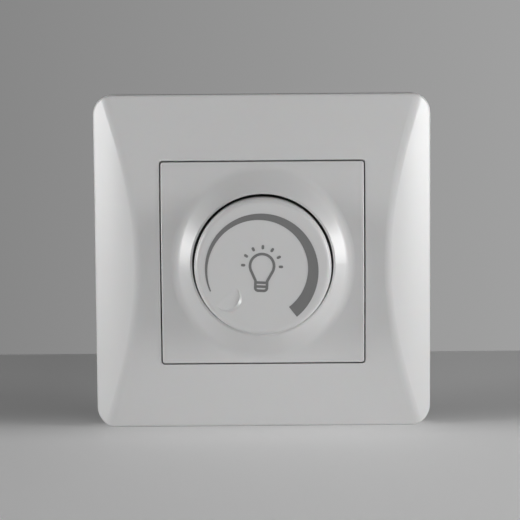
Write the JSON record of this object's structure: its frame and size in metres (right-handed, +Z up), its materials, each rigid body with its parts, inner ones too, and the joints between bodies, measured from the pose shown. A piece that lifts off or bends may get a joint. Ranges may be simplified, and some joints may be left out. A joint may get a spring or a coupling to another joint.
{
  "type": "rotary dimmer switch",
  "caption": "Flush wall dimmer: domed square frame, centre plate with flared collar and a round turn knob, steel plate with claws, dimmer module behind.",
  "frame": {"origin": "on the knob's axis in the plane of the wall, which is the rear face of the steel support plate and the rear rim of the outer frame, midway between the two box screws", "axes": "+X to the right, +Z up, +Y into the wall; the front looks along -Y"},
  "size_m": [0.0824, 0.0442, 0.0818],
  "materials": {
    "outer_frame": "satin gloss white",
    "centre_plate": "satin gloss white",
    "control_knob": "satin gloss white",
    "level_arc_print": "matt grey pad print",
    "bulb_symbol_print": "matt grey pad print",
    "knob_spring_clip": "spring steel",
    "spindle": "drawn",
    "wiper_disc": "moulded phenolic",
    "wiper_brush": "phosphor bronze strip",
    "switch_rotor": "moulded",
    "switch_blade": "silvered strip",
    "centre_plate_nut": "zinc plated",
    "centre_plate_washer": "zinc plated",
    "bush_nut": "turned",
    "bush_lock_washer": "zinc plated",
    "spindle_bush": "turned",
    "support_plate": "zinc plated sheet",
    "potentiometer_can": "tinned pressing",
    "resistance_track": "phenolic sheet with carbon ink",
    "potentiometer_tags": "tinned",
    "switch_housing": "moulded",
    "switch_contacts": "strip",
    "claw_left": "zinc plated",
    "claw_right": "zinc plated",
    "claw_pins": "riveted",
    "claw_screw_left": "zinc plated",
    "claw_screw_right": "zinc plated",
    "spreader_nut_left": "zinc plated",
    "spreader_nut_right": "zinc plated",
    "module_housing": "moulded heat-resistant plastic",
    "housing_screws": "zinc plated",
    "circuit_board": "laminate with green varnish",
    "triac": "moulded package",
    "triac_insulator": "mica",
    "triac_screw": "zinc plated",
    "triac_nut": "zinc plated",
    "fuse_glass": "clear tube",
    "fuse_caps": "nickel plated",
    "fuse_clips": "spring strip",
    "choke_core": "painted iron powder",
    "choke_winding": "enamelled copper wire",
    "film_capacitors": "dipped box",
    "carbon_resistors": "lacquered",
    "diac": "glass body",
    "terminal_block": "moulded",
    "terminal_clamps": "nickel-free brass",
    "terminal_screws": "zinc plated",
    "rating_label": "blank film label"
  },
  "bodies": {
    "base": {"outer_frame": "outer_frame", "centre_plate": "centre_plate", "centre_plate_nut": "centre_plate_nut", "centre_plate_washer": "centre_plate_washer", "bush_nut": "bush_nut", "bush_lock_washer": "bush_lock_washer", "spindle_bush": "spindle_bush", "support_plate": "support_plate", "potentiometer_can": "potentiometer_can", "resistance_track": "resistance_track", "potentiometer_tags": "potentiometer_tags", "switch_housing": "switch_housing", "switch_contacts": "switch_contacts", "claw_pins": "claw_pins", "module_housing": "module_housing", "housing_screws": "housing_screws", "circuit_board": "circuit_board", "triac": "triac", "triac_insulator": "triac_insulator", "triac_screw": "triac_screw", "triac_nut": "triac_nut", "fuse_glass": "fuse_glass", "fuse_caps": "fuse_caps", "fuse_clips": "fuse_clips", "choke_core": "choke_core", "choke_winding": "choke_winding", "film_capacitors": "film_capacitors", "carbon_resistors": "carbon_resistors", "diac": "diac", "terminal_block": "terminal_block", "terminal_clamps": "terminal_clamps", "terminal_screws": "terminal_screws", "rating_label": "rating_label"},
    "knob": {"control_knob": "control_knob", "level_arc_print": "level_arc_print", "bulb_symbol_print": "bulb_symbol_print", "knob_spring_clip": "knob_spring_clip", "spindle": "spindle", "wiper_disc": "wiper_disc", "wiper_brush": "wiper_brush", "switch_rotor": "switch_rotor", "switch_blade": "switch_blade"},
    "claw_screw_left": {"claw_screw_left": "claw_screw_left"},
    "spreader_left": {"spreader_nut_left": "spreader_nut_left"},
    "claw_left": {"claw_left": "claw_left"},
    "claw_screw_right": {"claw_screw_right": "claw_screw_right"},
    "spreader_right": {"spreader_nut_right": "spreader_nut_right"},
    "claw_right": {"claw_right": "claw_right"}
  },
  "joints": [
    {"name": "knob_turn", "type": "hinge", "parent": "base", "child": "knob", "pos_m": [0, 0, 0], "axis": [0, 1, 0], "range_deg": [0, 300]},
    {"name": "spreader_left_slide", "type": "slide", "parent": "base", "child": "spreader_left", "axis": [0, -1, 0], "range_m": [0, 0.01]},
    {"name": "claw_screw_left_turn", "type": "hinge", "parent": "base", "child": "claw_screw_left", "pos_m": [-0.0249, 0, 0], "axis": [0, 1, 0], "range_deg": [0, 6040]},
    {"name": "claw_left_swing", "type": "hinge", "parent": "base", "child": "claw_left", "pos_m": [-0.029, 0.0026, 0], "axis": [0, 0, 1], "range_deg": [0, 16.1]},
    {"name": "spreader_right_slide", "type": "slide", "parent": "base", "child": "spreader_right", "axis": [0, -1, 0], "range_m": [0, 0.01]},
    {"name": "claw_screw_right_turn", "type": "hinge", "parent": "base", "child": "claw_screw_right", "pos_m": [0.0249, 0, 0], "axis": [0, 1, 0], "range_deg": [0, 6040]},
    {"name": "claw_right_swing", "type": "hinge", "parent": "base", "child": "claw_right", "pos_m": [0.029, 0.0026, 0], "axis": [0, 0, -1], "range_deg": [0, 16.1]}
  ],
  "couplings": [
    {"joint": "claw_screw_left_turn", "follows": "spreader_left_slide", "rad_per_m": 10472},
    {"joint": "claw_left_swing", "follows": "spreader_left_slide", "rad_per_m": 27.925},
    {"joint": "claw_screw_right_turn", "follows": "spreader_right_slide", "rad_per_m": 10472},
    {"joint": "claw_right_swing", "follows": "spreader_right_slide", "rad_per_m": 27.925}
  ]
}
